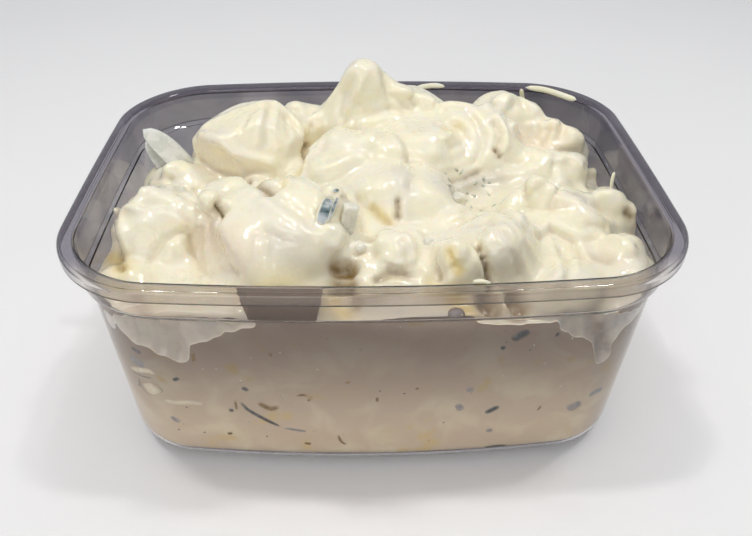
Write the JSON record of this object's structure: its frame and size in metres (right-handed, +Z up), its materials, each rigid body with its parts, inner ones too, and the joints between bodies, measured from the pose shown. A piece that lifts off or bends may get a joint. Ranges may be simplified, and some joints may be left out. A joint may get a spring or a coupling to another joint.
{
  "type": "potato salad in a clear deli tub",
  "caption": "Creamy dressed potato salad heaped above the rim of a clear rectangular tub with rounded corners and a turned-down rim.",
  "frame": {"origin": "centre of the tub's standing ring, on the surface that it stands on", "axes": "+Z up, +X along the tub's long side, -Y the front long side"},
  "size_m": [0.138, 0.103, 0.0775],
  "materials": {
    "clear_plastic": "clear, faintly smoky, glossy",
    "dressed_potato": "cream dressing with a wet sheen over yellow potato, with green herb and onion bits"
  },
  "bodies": {
    "root": {"tub": "clear_plastic", "potato_salad": "dressed_potato"}
  },
  "joints": []
}
